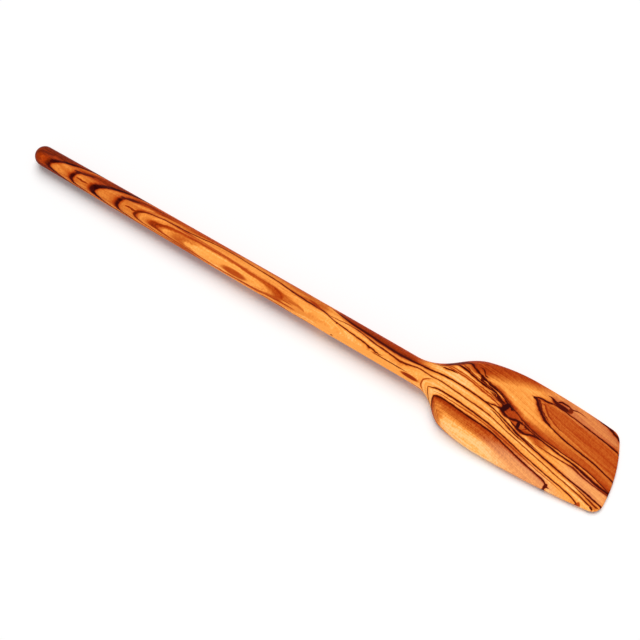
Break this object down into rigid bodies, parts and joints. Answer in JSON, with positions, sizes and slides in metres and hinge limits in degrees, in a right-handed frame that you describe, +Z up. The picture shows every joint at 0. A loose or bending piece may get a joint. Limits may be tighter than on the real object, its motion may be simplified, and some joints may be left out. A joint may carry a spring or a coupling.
{
  "type": "stirring paddle",
  "caption": "Long-handled wooden stirring paddle, carved whole, with a round tapered handle, a flat-backed blade, unequal shoulders and a slanted, gently curved tip.",
  "frame": {"origin": "under the middle of the paddle's bounding box, on the plane of its flat back", "axes": "+X along the handle towards the tip of the blade, +Y across the blade towards its wider side, +Z up out of the flat back"},
  "size_m": [0.5, 0.0698, 0.0192],
  "materials": {
    "olive_wood": "olive wood, sanded smooth and oiled to a satin sheen"
  },
  "bodies": {
    "root": {"paddle": "olive_wood"}
  },
  "joints": []
}
